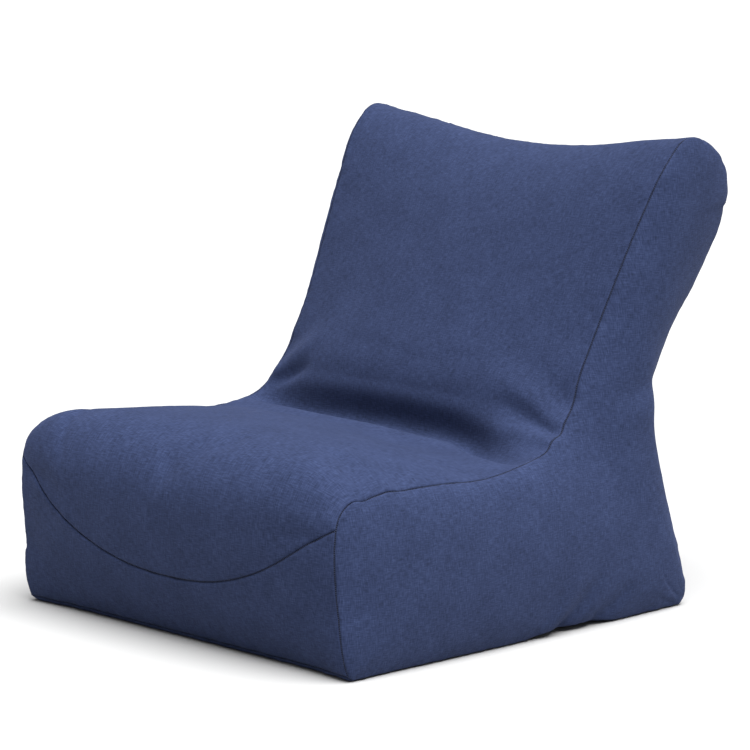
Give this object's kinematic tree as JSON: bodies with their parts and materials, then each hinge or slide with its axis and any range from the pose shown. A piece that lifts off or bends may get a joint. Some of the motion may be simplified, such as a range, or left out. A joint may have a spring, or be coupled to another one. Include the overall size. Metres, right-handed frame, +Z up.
{
  "type": "bean bag chair",
  "caption": "Lounge-shaped bean bag chair: woven zipped cover with side gussets over a lined bag of beads, low seat and raked backrest with a sagging top edge.",
  "frame": {"origin": "on the floor under the middle of the chair's box", "axes": "+Z up, the chair faces -Y, +X to the right as seen from the front"},
  "size_m": [0.7928, 0.9166, 0.7507],
  "materials": {
    "cover_cloth": "woven melange polyester, matte",
    "zip_tape": "woven zip tape, matte",
    "zip_coil": "nylon coil, semi-matte",
    "zip_slider": "dark enamelled zinc, satin",
    "zip_stop": "plain crimped metal",
    "label_cloth": "blank satin tape",
    "liner_cloth": "light non-woven liner cloth, matte",
    "liner_tape": "woven zip tape, matte",
    "liner_coil": "nylon coil, semi-matte",
    "liner_slider": "plain zinc, satin",
    "beads": "expanded polystyrene beads, matte"
  },
  "bodies": {
    "root": {"seat_back_panel": "cover_cloth", "front_panel": "cover_cloth", "side_panel_left": "cover_cloth", "side_panel_right": "cover_cloth", "rear_panel": "cover_cloth", "rear_hem_panel": "cover_cloth", "base_panel": "cover_cloth", "cover_zip_tape_upper": "zip_tape", "cover_zip_tape_lower": "zip_tape", "cover_zip_coil": "zip_coil", "cover_zip_stop_closed": "zip_stop", "cover_zip_stop_open": "zip_stop", "care_label": "label_cloth", "liner_wrap_panel": "liner_cloth", "liner_side_left": "liner_cloth", "liner_side_right": "liner_cloth", "chamber_baffle": "liner_cloth", "liner_zip_tape_upper": "liner_tape", "liner_zip_tape_lower": "liner_tape", "liner_zip_coil": "liner_coil", "liner_zip_stop_closed": "zip_stop", "liner_zip_stop_open": "zip_stop", "seat_bead_fill": "beads", "back_bead_fill": "beads"},
    "cover_zip_slider": {"cover_zip_slider": "zip_slider"},
    "cover_zip_pull": {"cover_zip_pull": "zip_slider"},
    "liner_zip_slider": {"liner_zip_slider": "liner_slider"}
  },
  "joints": [
    {"name": "cover_zip_slide", "type": "slide", "parent": "root", "child": "cover_zip_slider", "axis": [1, 0, 0], "range_m": [0, 0.5]},
    {"name": "cover_pull_hinge", "type": "hinge", "parent": "cover_zip_slider", "child": "cover_zip_pull", "pos_m": [-0.25, 0.32597, 0.07722], "axis": [0, -0.1896, 0.9819], "range_deg": [0, 165]},
    {"name": "liner_zip_slide", "type": "slide", "parent": "root", "child": "liner_zip_slider", "axis": [1, 0, 0], "range_m": [0, 0.42]}
  ]
}
